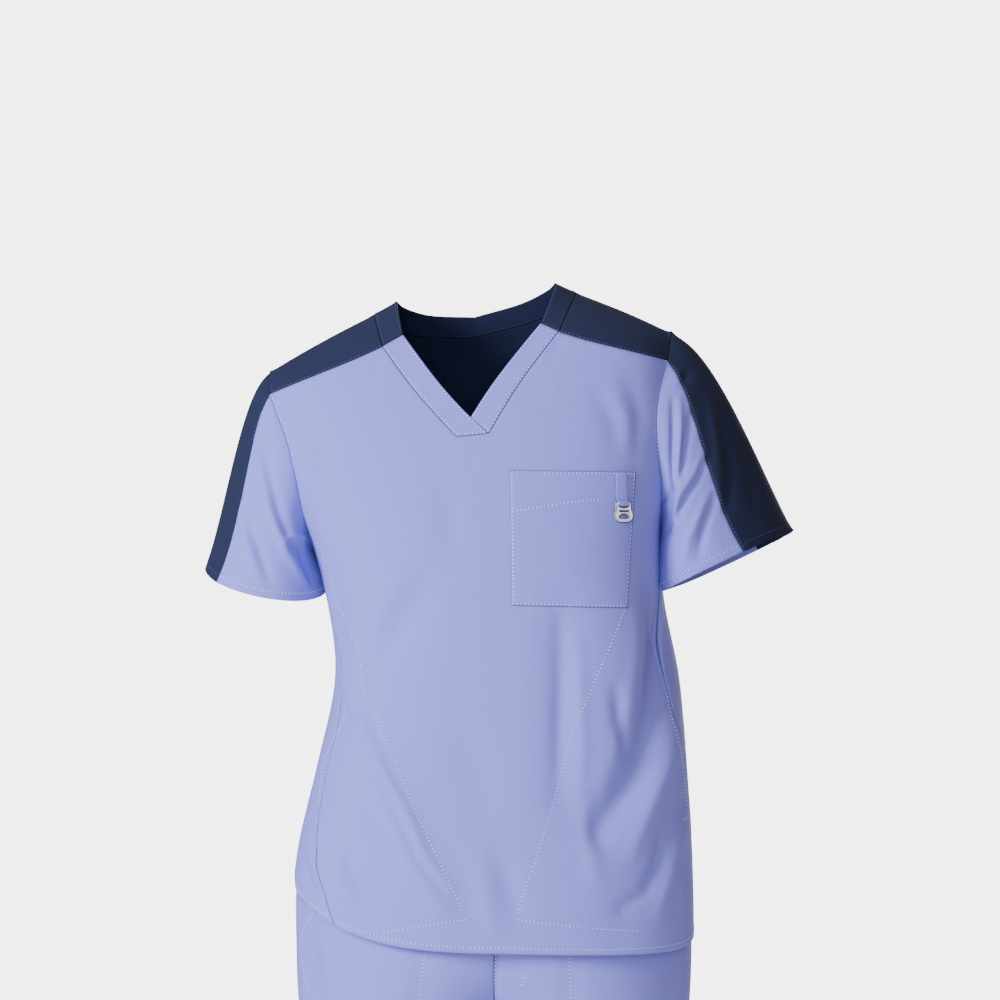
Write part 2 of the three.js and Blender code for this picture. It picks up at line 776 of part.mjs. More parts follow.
// Frame of the tab on the outside of the pocket
function tabFrame(pocket) {
  const here = dropOn(pocket, TAB.x, TAB.z - TAB.length / 2);
  const right = dropOn(pocket, TAB.x + TAB.width / 2, TAB.z - TAB.length / 2).sub(here).normalize();
  const up = dropOn(pocket, TAB.x, TAB.z).sub(here).normalize();
  const into = up.clone().cross(right).normalize();
  const straightUp = right.clone().cross(into);
  const frame = new THREE.Matrix4().makeBasis(right, into, straightUp);
  return frame.setPosition(here.addScaledVector(straightUp, TAB.length / 2));
}

// A flat shape drawn in two named directions of the local frame and given a thickness along the third
function extruded(name, colour, shape, depth, turn, frame) {
  const geometry = new THREE.ExtrudeGeometry(shape, { depth, bevelEnabled: false, curveSegments: 12 });
  geometry.translate(0, 0, -depth / 2);
  geometry.applyMatrix4(turn);
  geometry.applyMatrix4(frame);
  return namedMesh(name, colour, geometry);
}

function tabMesh(frame) {
  const axis = TAB.lift + TAB.eye;
  const front = TAB.lift + TAB.wall;
  const meet = Math.acos((axis - front) / TAB.eye);
  const shape = new THREE.Shape();
  shape.moveTo(TAB.lift, 0);
  shape.lineTo(TAB.lift, -TAB.length);
  shape.absarc(axis, -TAB.length, TAB.eye, Math.PI, Math.PI * 3 - meet, false);
  shape.lineTo(front, 0);
  const hole = new THREE.Path();
  hole.absarc(axis, -TAB.length, TAB.hole, 0, Math.PI * 2, true);
  shape.holes.push(hole);
  const turn = new THREE.Matrix4().makeBasis(
    new THREE.Vector3(0, -1, 0),
    new THREE.Vector3(0, 0, 1),
    new THREE.Vector3(-1, 0, 0),
  );
  return extruded('pocket_tab', LAVENDER, shape, TAB.width, turn, frame);
}

// A slot with straight ends and bowed edges, each given by its ends and its middle
function slotPath(slot) {
  const path = new THREE.Path();
  path.moveTo(-slot.half, slot.upper);
  path.lineTo(-slot.half, slot.lower);
  path.quadraticCurveTo(0, 2 * slot.lowerMiddle - slot.lower, slot.half, slot.lower);
  path.lineTo(slot.half, slot.upper);
  path.quadraticCurveTo(0, 2 * slot.upperMiddle - slot.upper, -slot.half, slot.upper);
  return path;
}

function ringMesh(frame) {
  const right = RING_EDGE.map((corner) => new THREE.Vector2(corner.x, corner.z));
  const left = right.map((corner) => new THREE.Vector2(-corner.x, corner.y)).toReversed();
  const shape = new THREE.Shape();
  shape.moveTo(left[left.length - 1].x, left[left.length - 1].y);
  shape.lineTo(right[0].x, right[0].y);
  shape.splineThru(right.slice(1));
  shape.quadraticCurveTo(0, 2 * RING_BOTTOM - left[0].y, left[0].x, left[0].y);
  shape.splineThru(left.slice(1));
  for (const slot of RING_SLOTS) {
    shape.holes.push(slotPath(slot));
  }
  const turn = new THREE.Matrix4().makeBasis(
    new THREE.Vector3(1, 0, 0),
    new THREE.Vector3(0, 0, 1),
    new THREE.Vector3(0, -1, 0),
  );
  turn.setPosition(0, -(TAB.lift + TAB.eye), -TAB.length);
  return extruded('badge_ring', SILVER, shape, RING_WALL, turn, frame);
}

function scrubs() {
  const front = grid(FRONT_HALF * 2, FRONT_ROWS, frontPoint);
  const back = grid(BACK_CELLS, FRONT_ROWS, backPoint);
  const yoke = yokeGrid(front, back);
  const panels = [
    ['top_front', LAVENDER, front, 1],
    ['top_back', LAVENDER, back, 1],
    ['top_yoke', NAVY, yoke, -1],
    ['neckband_right', LAVENDER, bandGrid(-1, front), -1],
    ['neckband_left', LAVENDER, bandGrid(1, front), 1],
    ['neckband_back', NAVY, backBandGrid(), -1],
  ];
  for (const [name, sleeve] of Object.entries(SLEEVES)) {
    const points = sleeveGrid(sleeve, armholeLoop(sleeve.side, front, back, yoke));
    const stripeEnd = ARMHOLE_ROWS + SHOULDER_CELLS;
    const fore = columnsOf(points, 0, ARMHOLE_ROWS);
    const stripe = columnsOf(points, ARMHOLE_ROWS, stripeEnd);
    const rear = columnsOf(points, stripeEnd, points[0].length - 1);
    panels.push([`sleeve_${name}_front`, LAVENDER, fore, -sleeve.side]);
    panels.push([`sleeve_${name}_stripe`, NAVY, stripe, -sleeve.side]);
    panels.push([`sleeve_${name}_back`, LAVENDER, rear, -sleeve.side]);
    panels.push([`trousers_${name}_front`, LAVENDER, legGrid(sleeve.side, -1), sleeve.side]);
    panels.push([`trousers_${name}_back`, LAVENDER, legGrid(sleeve.side, 1), -sleeve.side]);
  }
  panels.push(['trousers_waistband', LAVENDER, waistbandGrid(), -1]);

  const normals = new Map();
  for (const [, , points, outward] of panels) {
    addNormals(normals, points, outward);
  }
  const group = new THREE.Group();
  group.name = 'medical_scrubs';
  for (const [name, colour, points, outward] of panels) {
    group.add(wallMesh(name, colour, points, outward, WALL, normals));
  }

  const pocket = raised(pocketGrid(front), LAID_GAP + POCKET_WALL);
  const pocketNormals = new Map();
  addNormals(pocketNormals, pocket, 1);
  group.add(wallMesh('chest_pocket', LAVENDER, pocket, 1, POCKET_WALL, pocketNormals));
  const frame = tabFrame(pocket);
  group.add(tabMesh(frame));
  group.add(ringMesh(frame));
  return group;
}

const group = scrubs();
export default group;
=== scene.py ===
import bisect
import math

import bmesh
import bpy
import numpy as np
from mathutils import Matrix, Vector
from mathutils.bvhtree import BVHTree
from mathutils.geometry import interpolate_bezier
from mathutils.kdtree import KDTree


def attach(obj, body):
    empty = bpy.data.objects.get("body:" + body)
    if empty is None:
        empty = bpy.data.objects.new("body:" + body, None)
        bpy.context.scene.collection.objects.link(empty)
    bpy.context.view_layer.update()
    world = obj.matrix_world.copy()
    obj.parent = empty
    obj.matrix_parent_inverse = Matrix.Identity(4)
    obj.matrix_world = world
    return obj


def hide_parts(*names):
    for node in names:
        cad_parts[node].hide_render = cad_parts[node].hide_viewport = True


# Medical scrubs: V-neck top with navy shoulder yokes and sleeve stripes, and trousers of the same cloth.
# The front faces -Y, the right side of the garment is -X. Lengths are in metres. The tables of folds, pushes
# and stitches are in millimetres.

MM = 0.001

# Cloth and its seams
CLOTH = 1.0 * MM
BAND_CLOTH = 1.6 * MM
BAND_RAISE = 0.7 * MM
SEAM_REACH = 2.2 * MM
SEAM_DIP = 0.7 * MM
# How narrow the line of painted shade along a seam is
SEAM_NARROWING = 5
FOLD_FADE_START = 0.12
FOLD_FADE_SPAN = 0.76
FACING_GAIN = 2.5
FRONT_SIDE = -1
BACK_SIDE = 1

# Chest pocket and its tab
POCKET_LEVELS = 2
POCKET_CLOTH = 0.7 * MM
POCKET_RAISE = 1.7 * MM
POCKET_EDGE_SHARE = 0.6
TAB_BEVEL = 0.35 * MM

# Metal ring
RING_BEVEL = 0.3 * MM
BEVEL_SEGMENTS = 3
BEVEL_ANGLE = math.radians(40)
BEAD_INSET = 1.05 * MM
BEAD_RADIUS = 0.4 * MM
# Dark beads of painted shadow round the ring's outline and its slots, where shade falls
SHADOW_EDGE_INSET = 0.15 * MM
SHADOW_EDGE_RADIUS = 0.42 * MM
BEAD_SIDES = 6
FACE_MATCH = 0.8

# How the solids are read
WELD = 0.005 * MM
SKIN_ANGLE = math.radians(55)
QUAD_FACE_ANGLE = math.radians(50)
QUAD_SHAPE_ANGLE = math.radians(150)
CORNER_ANGLE = math.radians(22)
FLAT_ANGLE = math.radians(4)
SHARED_EDGE = -1

# Stitches
STITCH_LENGTH = 2.2 * MM
STITCH_GAP = 1.9 * MM
STITCH_RADIUS = 0.58 * MM
STITCH_SIDE_RISE = 0.2
STITCH_TIP_RISE = 0.1
# Dark dots between the stitches: painted shade where the thread dips into the cloth
SHADE_DOT_LENGTH = 1.3 * MM
SHADE_DOT_RADIUS = 0.36 * MM
CURVE_POINTS = 6
CURVE_EASE = 6
DRAWN_STEP_MM = 4
DRAWN_FROM_Y = -1
SHORTEST_RUN = 3

# View of the photograph
VIEW_CENTRE = Vector((25.3, 0, -217.3)) * MM
VIEW_WIDTH = 1.055
VIEW_DISTANCE = 5.0
VIEW_END = 50
SENSOR_MM = 36
LEVEL = math.radians(90)

# Stage
FLOOR_Z = -1.575
FLOOR_SIZE = 12
AMBIENT = 0.33
AMBIENT_COLOUR = (1.15, 0.93, 0.7, 1)
PAPER_COLOUR = (1, 1, 1, 1)
PAPER_GLOW = 5
LIGHT_COLOUR = (0.92, 0.95, 1.1)
LIGHT_AIM = Vector((0, 0, -0.35))
LIGHT_COLUMNS = ("name", "place", "power", "size")
LIGHTS = (
    ("key_light", (-2.8, -2.6, 0.8), 262, 1.3),
    ("fill_light", (-0.2, -3.6, 0.2), 54, 1.4),
    ("top_light", (-0.2, 0.2, 2.4), 24, 1.2),
    ("back_light", (1.0, 3.4, 0.5), 110, 1.6),
)

GARMENTS = "garments"

# Each cloth piece: its cut size and the area of the cut, subdivision levels, a point inside the part that it
# wraps, its colour, the thickness of its cloth and the piece that it hangs from or lies on
PIECE_COLUMNS = ("node", "width", "length", "area", "levels", "heart", "finish", "thickness", "rests_on")
TRUNK = (0.01, 0.0, -0.3)
RIGHT_SLEEVE = (-0.215, 0.0, -0.21)
LEFT_SLEEVE = (0.245, 0.0, -0.18)
NECK = (0.0, 0.01, -0.2)
RIGHT_LEG = (-0.085, 0.0, -1.0)
LEFT_LEG = (0.123, 0.0, -1.0)
PIECES = (
    ("top_front", 0.50, 0.66, 0.268, 3, TRUNK, "lavender", CLOTH, "top_yoke"),
    ("top_back", 0.55, 0.60, 0.311, 3, TRUNK, "lavender", CLOTH, "top_yoke"),
    ("top_yoke", 0.46, 0.22, 0.069, 3, NECK, "navy", CLOTH, "top_front"),
    ("neckband_right", 0.16, 0.035, 0.0037, 3, NECK, "lavender", BAND_CLOTH, "top_yoke"),
    ("neckband_left", 0.15, 0.035, 0.0033, 3, NECK, "lavender", BAND_CLOTH, "top_yoke"),
    ("neckband_back", 0.42, 0.035, 0.0110, 3, NECK, "navy", BAND_CLOTH, "top_yoke"),
    ("sleeve_right_front", 0.14, 0.22, 0.0177, 3, RIGHT_SLEEVE, "lavender", CLOTH, "top_yoke"),
    ("sleeve_right_stripe", 0.17, 0.23, 0.0264, 3, RIGHT_SLEEVE, "navy", CLOTH, "top_yoke"),
    ("sleeve_right_back", 0.09, 0.17, 0.0079, 3, RIGHT_SLEEVE, "lavender", CLOTH, "top_yoke"),
    ("sleeve_left_front", 0.12, 0.23, 0.0159, 3, LEFT_SLEEVE, "lavender", CLOTH, "top_yoke"),
    ("sleeve_left_stripe", 0.17, 0.24, 0.0348, 3, LEFT_SLEEVE, "navy", CLOTH, "top_yoke"),
    ("sleeve_left_back", 0.13, 0.20, 0.0167, 3, LEFT_SLEEVE, "lavender", CLOTH, "top_yoke"),
    ("trousers_right_front", 0.30, 1.04, 0.265, 2, RIGHT_LEG, "lavender", CLOTH, "trousers_waistband"),
    ("trousers_right_back", 0.33, 1.04, 0.273, 2, RIGHT_LEG, "lavender", CLOTH, "trousers_waistband"),
    ("trousers_left_front", 0.30, 1.04, 0.265, 2, LEFT_LEG, "lavender", CLOTH, "trousers_waistband"),
    ("trousers_left_back", 0.33, 1.04, 0.273, 2, LEFT_LEG, "lavender", CLOTH, "trousers_waistband"),
    ("trousers_waistband", 0.98, 0.04, 0.0386, 1, TRUNK, "lavender", BAND_CLOTH, "top_front"),
)

# Folds, in millimetres on the front view: depth is positive for a ridge, width is half its spread
FOLD_COLUMNS = ("depth", "width", "points")
FRONT_FOLDS = (
    (3, 7, ((-139, -406), (-129, -431), (-111, -469), (-92, -505), (-69, -544), (-53, -581), (-28, -615))),
    (-3.5, 6, ((-147, -410), (-134, -436), (-118, -470), (-100, -507), (-76, -549), (-59, -586),
               (-32, -619))),
    (-3, 14, ((-146, -444), (-129, -485), (-103, -539), (-86, -578))),
    (-3, 9, ((-134, -577), (-127, -601), (-113, -622))),
    (3, 8, ((-147, -580), (-139, -609), (-127, -632))),
    (-3.5, 5, ((-184, -586), (-177, -600), (-175, -615), (-162, -627))),
    (3, 5, ((-175, -580), (-166, -596), (-162, -613))),
    (-2.5, 6, ((-158, -555), (-150, -573), (-146, -596))),
    (-3, 18, ((-51, -308), (-67, -329), (-83, -351), (-96, -377))),
    (3, 16, ((-73, -295), (-93, -331), (-111, -367))),
    (-2.5, 20, ((-11, -452), (0, -495), (10, -540))),
    (-3.5, 9, ((88, -339), (88, -403), (87, -464), (85, -526))),
    (2.5, 8, ((105, -361), (108, -423), (110, -470), (108, -516))),
    (-11, 14, ((197, -310), (194, -367), (189, -421), (178, -468), (165, -501), (148, -530), (126, -557))),
    (-10, 16, ((207, -305), (204, -361), (199, -423))),
    (5, 10, ((215, -454), (202, -490), (188, -519), (175, -549), (163, -576))),
    (2, 9, ((167, -331), (167, -382), (159, -428), (146, -470), (131, -506))),
    (-4, 8, ((145, -413), (150, -446), (155, -477))),
    (-4.5, 7, ((221, -528), (207, -545), (194, -569), (188, -596), (175, -622), (151, -637))),
    (4, 8, ((221, -555), (209, -580), (201, -609), (190, -642))),
    (3, 10, ((110, -526), (114, -567), (126, -609))),
    (-2.2, 11, ((125, -108), (143, -135), (150, -167))),
    (-2.2, 10, ((161, -95), (169, -127), (165, -184))),
    (2, 11, ((142, -99), (157, -135), (161, -171))),
    (-3, 10, ((-150, -279), (-144, -320), (-139, -361), (-142, -392))),
    (-2.5, 12, ((-162, -145), (-155, -197), (-158, -238))),
    (2.5, 12, ((-181, -156), (-168, -217), (-162, -258))),
    (-3, 10, ((185, -279), (180, -320), (184, -361))),
    (-7, 24, ((225, -310), (224, -367), (222, -423))),
    (3.5, 14, ((195, -186), (196, -238), (194, -289))),
    (-2, 14, ((-36, -186), (-26, -238), (-30, -289))),
    (-2.5, 12, ((25, -578), (36, -619), (46, -655))),
    (2.5, 12, ((5, -588), (13, -629), (17, -660))),
)
SLEEVE_FOLDS = (
    (-4, 5, ((-239, -238), (-227, -267), (-215, -301))),
    (3, 6, ((-246, -228), (-237, -264), (-228, -292))),
    (4, 5, ((-229, -164), (-221, -196), (-213, -231), (-197, -273), (-171, -313))),
    (-2.5, 5, ((-221, -167), (-213, -201), (-204, -233), (-190, -264))),
    (-6, 7, ((-188, -260), (-179, -273), (-172, -292), (-169, -313))),
    (4, 4, ((-200, -262), (-191, -255), (-178, -257), (-169, -264))),
    (-2.5, 4, ((-238, -194), (-229, -209), (-222, -220))),
    (-3, 8, ((-223, -113), (-227, -144), (-223, -176))),
    (-4.5, 3.5, ((206, -114), (206, -144), (205, -170), (204, -207), (201, -249))),
    (3.5, 4, ((213, -113), (213, -155), (211, -202), (205, -249))),
    (-4.5, 4.5, ((226, -125), (219, -155), (215, -182), (207, -209), (199, -232))),
    (-4.5, 4.5, ((241, -173), (232, -194), (220, -213), (210, -232), (201, -250))),
    (-3, 3, ((204, -204), (200, -211), (192, -223))),
    (3, 5, ((238, -167), (228, -190), (215, -209), (203, -238))),
    (-4, 5, ((249, -215), (243, -230), (238, -245), (232, -277))),
    (3, 5, ((245, -207), (234, -230), (221, -259), (217, -286))),
    (-2.5, 5, ((223, -83), (220, -88), (218, -96))),
    (-4, 6, ((257, -104), (260, -134), (262, -163), (265, -196), (262, -227))),
    (3, 6, ((246, -111), (251, -144), (255, -186), (257, -217))),
    (-2.5, 6, ((281, -155), (288, -186), (293, -223))),
    (-2.5, 5, ((-254, -186), (-259, -223), (-265, -259))),
)
TROUSER_FOLDS = (
    (-2.5, 8, ((-52, -673), (-56, -709), (-60, -745), (-63, -797))),
    (-2.5, 8, ((97, -673), (98, -709), (99, -745), (100, -797))),
    (-4, 12, ((-163, -647), (-171, -678), (-169, -714), (-163, -766))),
    (4, 12, ((-151, -657), (-151, -693), (-144, -735))),
    (-5, 16, ((20, -760), (60, -800), (110, -830))),
    (-5, 16, ((20, -760), (-25, -800), (-75, -830))),
    (-6, 20, ((150, -1150), (110, -1190), (70, -1200))),
    (-6, 20, ((-110, -1140), (-80, -1190), (-40, -1205))),
    (-5, 18, ((160, -1440), (120, -1470), (75, -1460))),
    (-5, 18, ((-120, -1430), (-80, -1470), (-40, -1460))),
    (5, 15, ((150, -1195), (115, -1232), (75, -1240))),
    (5, 15, ((-112, -1190), (-80, -1230), (-42, -1245))),
    (-6, 14, ((158, -1500), (122, -1518), (80, -1508))),
    (-6, 14, ((-120, -1495), (-82, -1515), (-45, -1506))),
)
BACK_FOLDS = (
    (-6, 22, ((-60, -330), (-90, -400), (-80, -480), (-40, -560))),
    (-6, 22, ((90, -330), (120, -400), (110, -480), (80, -560))),
    (5, 20, ((-30, -420), (20, -450), (70, -420))),
    (-5, 18, ((-150, -170), (-110, -230), (-60, -270))),
    (-5, 18, ((150, -170), (110, -230), (60, -270))),
    (-4, 20, ((15, -480), (20, -560), (10, -640))),
    (-6, 16, ((-150, -520), (-110, -570), (-60, -600))),
    (5, 14, ((-155, -560), (-115, -610), (-70, -640))),
    (-6, 16, ((200, -500), (165, -560), (110, -600))),
    (5, 14, ((205, -545), (165, -605), (120, -640))),
)
TROUSER_BACK_FOLDS = (
    (-7, 18, ((24, -745), (70, -775), (125, -790))),
    (-7, 18, ((14, -745), (-30, -775), (-85, -790))),
    (-5, 14, ((30, -790), (75, -820), (120, -850))),
    (-5, 14, ((8, -790), (-40, -820), (-82, -850))),
    (-8, 16, ((165, -1120), (125, -1145), (75, -1140))),
    (5, 14, ((160, -1165), (120, -1180), (80, -1172))),
    (-8, 16, ((-130, -1115), (-85, -1140), (-40, -1135))),
    (5, 14, ((-125, -1160), (-80, -1175), (-45, -1168))),
    (-6, 15, ((160, -1400), (125, -1430), (85, -1425))),
    (-6, 15, ((-125, -1405), (-85, -1435), (-45, -1428))),
    (-7, 14, ((155, -1490), (120, -1505), (80, -1500))),
    (-7, 14, ((-122, -1488), (-85, -1503), (-48, -1500))),
)

# Which folds lie on which pieces, by the beginning of a piece's name, and on which side
FOLDED_COLUMNS = ("pieces", "folds", "side")
FOLDED = (
    ("sleeve", SLEEVE_FOLDS, FRONT_SIDE),
    ("top_front", FRONT_FOLDS, FRONT_SIDE),
    ("top_back", FRONT_FOLDS, FRONT_SIDE),
    ("top_back", BACK_FOLDS, BACK_SIDE),
    ("trousers", TROUSER_FOLDS, FRONT_SIDE),
    ("trousers", TROUSER_BACK_FOLDS, BACK_SIDE),
)

# Places where a sleeve lies against the body: the centre and spread of a push, and how far it moves the
# cloth, all in millimetres
PUSH_COLUMNS = ("sleeve", "centre", "spread", "move")
PUSHES = (
    ("sleeve_right", (-166, 0, -292), 30, (4.5, 0, 0)),
    ("sleeve_left", (200, -12, -300), 38, (-4.5, 0, 0)),
    ("sleeve_left", (197, -20, -262), 26, (-2.5, 0, 0)),
)

# Top-stitching beside the seams: the piece it lies on, its neighbour and the distance from the seam,
# in millimetres
SEAM_STITCH_COLUMNS = ("node", "neighbour", "distance")
SEAM_STITCHES = (
    ("top_yoke", "top_front", 2.0),
    ("top_yoke", "top_back", 2.0),
    ("top_front", "sleeve_right_front", 2.2),
    ("top_front", "sleeve_left_front", 2.2),
    ("top_back", "sleeve_right_back", 2.2),
    ("top_back", "sleeve_left_back", 2.2),
    ("top_yoke", "sleeve_right_stripe", 2.2),
    ("top_yoke", "sleeve_left_stripe", 2.2),
    ("sleeve_right_stripe", "sleeve_right_front", 2.0),
    ("sleeve_right_stripe", "sleeve_right_back", 2.0),
    ("sleeve_left_stripe", "sleeve_left_front", 2.0),
    ("sleeve_left_stripe", "sleeve_left_back", 2.0),
    ("neckband_right", "neckband_left", 2.0),
    ("neckband_right", "top_front", 1.8),
    ("neckband_left", "top_front", 1.8),
    ("neckband_back", "top_yoke", 1.8),
    ("trousers_right_front", "trousers_right_back", 2.2),
    ("trousers_left_front", "trousers_left_back", 2.2),
    ("trousers_left_front", "trousers_right_front", 2.2),
    ("trousers_left_back", "trousers_right_back", 2.2),
)
# Turned hems: the piece and the distance of the stitch line from the free edge, in millimetres
HEM_COLUMNS = ("node", "distance")
HEMS = (
    ("chest_pocket", 2.0),
    ("neckband_right", 1.7),
    ("neckband_left", 1.7),
    ("neckband_back", 1.7),
    ("top_front", 6),
    ("top_back", 6),
    ("sleeve_right_front", 8),
    ("sleeve_right_stripe", 8),
    ("sleeve_right_back", 8),
    ("sleeve_left_front", 8),
    ("sleeve_left_stripe", 8),
    ("sleeve_left_back", 8),
    ("trousers_right_front", 20),
    ("trousers_right_back", 20),
    ("trousers_left_front", 20),
    ("trousers_left_back", 20),
)
# Stitch lines drawn on the front view, in millimetres: the pieces they lie on and their points
DRAWN_COLUMNS = ("nodes", "points")
TOP = ("top_front", "top_back")
POCKET = ("chest_pocket",)
TROUSERS = ("trousers_right_front", "trousers_left_front", "trousers_right_back")
TAB = ("pocket_tab",)
DRAWN_STITCHES = (
    (TAB, ((146.3, -191.0), (159.2, -191.0))),
    (TAB, ((146.3, -213.7), (159.2, -213.7))),
    (TOP, ((-165, -261), (-154, -292), (-146, -320), (-136, -341), (-121, -372), (-117, -409), (-103, -442),
           (-85, -483), (-60, -540), (-36, -590), (-9, -647))),
    (TOP, ((-9, -647), (-44, -653), (-102, -663))),
    (TOP, ((154, -331), (142, -361), (128, -392), (114, -424), (100, -455), (93, -481), (87, -506),
           (74, -550), (60, -593), (48, -624), (43, -648))),
    (TOP, ((43, -648), (91, -654), (135, -659), (175, -662))),
    (TOP, ((199, -418), (203, -440), (209, -460), (215, -487), (219, -518), (221, -543))),
    (POCKET, ((38, -229), (75, -223), (110, -218), (141, -216))),
    (TROUSERS, ((-52, -686), (-56, -709), (-59, -745), (-63, -797), (-70, -849))),
    (TROUSERS, ((97, -688), (98, -714), (98, -745), (101, -797), (106, -849))),
    (TOP, ((-135, -441), (-147, -465), (-158, -488), (-163, -523), (-162, -535))),
    (TOP, ((216, -549), (223, -549))),
    (TOP, ((216, -551), (223, -551))),
    (TROUSERS, ((49, -709), (47, -716), (45, -722))),
    (TROUSERS, ((51, -709), (49, -716), (47, -722))),
    (TROUSERS, ((-160, -634), (-173, -654), (-183, -675), (-183, -693), (-178, -719), (-173, -745))),
)

# Looks of the cloth. The cloud is the slow change of colour over a piece, the fibre the fast one.
# The seam colours are painted shade: a thin dark line along each seam and round the pocket's edge
LAVENDER_COLOUR = (0.185, 0.194, 0.63, 1)
LAVENDER_WORN = (0.205, 0.214, 0.68, 1)
LAVENDER_PAINTED_SEAM_SHADE = (0.045, 0.05, 0.19, 1)
NAVY_COLOUR = (0.0065, 0.0105, 0.036, 1)
NAVY_WORN = (0.0095, 0.015, 0.05, 1)
NAVY_PAINTED_SEAM_SHADE = (0.002, 0.004, 0.012, 1)
CLOTH_ROUGHNESS = 0.85
LAVENDER_SHEEN = 0.03
NAVY_SHEEN = 0
SHEEN_ROUGHNESS = 0.5
SPECULAR = 0.25
CLOUD_SCALE = 9
CLOUD_DETAIL = 5
CLOUD_SHARE = 0.45
FIBRE_SCALE = 900
FIBRE_DETAIL = 2
FIBRE_SHARE = 0.55
WEAVE_SCALE = 420
WEAVE_DISTORTION = 0.6
WEAVE_STRENGTH = 0.25
WEAVE_DEPTH = 0.2 * MM
CRUMPLE_SCALE = 38
CRUMPLE_DETAIL = 3
CRUMPLE_STRENGTH = 0.22
CRUMPLE_DEPTH = 4 * MM

# Finishes of one colour: thread, painted shade between stitches, metal, painted shadow on the metal's edges
# and floor
GRAIN_SCALE = 600
GRAIN_DETAIL = 2
GRAIN_SPREAD = 0.08
PLAIN_COLUMNS = ("key", "name", "colour", "roughness", "metallic")
PLAIN_FINISHES = (
    # The lavender thread is lighter than the cloth: partly its own colour, partly painted highlight on the
    # raised stitches
    ("lavender_thread", "lavender_thread", (0.72, 0.74, 1.0, 1), 0.7, 0),
    ("navy_thread", "navy_thread", (0.04, 0.055, 0.13, 1), 0.7, 0),
    ("needle_hole", "needle_hole", (0.03, 0.03, 0.12, 1), 0.9, 0),
    # Silver: near-white with little metallic shine, partly painted reflection for the bright glints of
    # polished metal
    ("silver", "silver_metal", (0.93, 0.94, 0.97, 1), 0.32, 0.35),
    # Dark metal: painted shadow round the ring's outline and in its slots
    ("dark_metal", "dark_metal_edge", (0.03, 0.033, 0.06, 1), 0.4, 0.6),
    ("floor", "pale_floor", (0.9, 0.9, 0.9, 1), 0.8, 0),
)


def rows(columns, table):
    return [dict(zip(columns, row)) for row in table]


def make_camera():
    data = bpy.data.cameras.new("Camera")
    data.sensor_width = SENSOR_MM
    data.lens = SENSOR_MM * VIEW_DISTANCE / VIEW_WIDTH
    data.clip_end = VIEW_END
    camera = bpy.data.objects.new("Camera", data)
    bpy.context.scene.collection.objects.link(camera)
    camera.location = VIEW_CENTRE + Vector((0, -VIEW_DISTANCE, 0))
    camera.rotation_euler = (LEVEL, 0, 0)
    bpy.context.scene.camera = camera


def make_object(name, mesh):
    piece = bpy.data.objects.new(name, mesh)
    bpy.context.scene.collection.objects.link(piece)
    return piece


def welded_solid(node):
    """The mesh of a CAD solid with its doubled points joined."""
    solid = bmesh.new()
    solid.from_mesh(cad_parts[node].data)
    bmesh.ops.remove_doubles(solid, verts=solid.verts, dist=WELD)
    return solid


def kept_mesh(name, shape):
    mesh = bpy.data.meshes.new(name)
    shape.to_mesh(mesh)
    shape.free()
    return mesh


def shade_smooth(mesh):
    for polygon in mesh.polygons:
        polygon.use_smooth = True


def outer_skin(node, heart):
    """The outside of a cloth wall as quads, gathered from the face that most looks away from the heart."""
    skin = welded_solid(node)
    skin.normal_update()
    middle = Vector(heart)

    def outward_area(face):
        return face.calc_area() * face.normal.dot((face.calc_center_median() - middle).normalized())

    start = max(skin.faces, key=outward_area)
    outside = {start}
    waiting = [start]
    while waiting:
        face = waiting.pop()
        for edge in face.edges:
            for other in edge.link_faces:
                if other not in outside and edge.calc_face_angle(math.pi) < SKIN_ANGLE:
                    outside.add(other)
                    waiting.append(other)
    bmesh.ops.delete(skin, geom=[face for face in skin.faces if face not in outside], context="FACES")
    bmesh.ops.join_triangles(
        skin,
        faces=skin.faces,
        angle_face_threshold=QUAD_FACE_ANGLE,
        angle_shape_threshold=QUAD_SHAPE_ANGLE,
    )
    return skin


def smoothed(name, skin, levels):
    """A new object with the skin rounded by subdivision and that result kept as its mesh."""
    sharpness = skin.verts.layers.float.new("crease_vert")
    for corner in skin.verts:
        sides = [edge.other_vert(corner).co - corner.co for edge in corner.link_edges if edge.is_boundary]
        if len(sides) == 2 and sides[0].angle(-sides[1]) > CORNER_ANGLE:
            corner[sharpness] = 1
    draft = kept_mesh(name + "_draft", skin)
    piece = make_object(name, draft)
    rounding = piece.modifiers.new("Rounding", "SUBSURF")
    rounding.levels = levels
    rounding.render_levels = levels
    rounding.boundary_smooth = "PRESERVE_CORNERS"
    shown = piece.evaluated_get(bpy.context.evaluated_depsgraph_get())
    mesh = bpy.data.meshes.new_from_object(shown)
    piece.modifiers.clear()
    piece.data = mesh
    bpy.data.meshes.remove(draft)
    shade_smooth(mesh)
    return piece


def read_vectors(mesh, attribute):
    """The places ("co") or the outward directions ("normal") of a mesh's points, a row for each point."""
    values = np.empty(len(mesh.vertices) * 3)
    mesh.vertices.foreach_get(attribute, values)
    return values.reshape(-1, 3)


def write_points(mesh, points):
    mesh.vertices.foreach_set("co", points.ravel())
    mesh.update()


def store_painted_seam_shade(mesh, shade):
    """Keeps for each point how much painted shade it gets along a seam. The cloth finishes read it."""
    mesh.attributes.new("seam", "FLOAT", "POINT").data.foreach_set("value", shade)


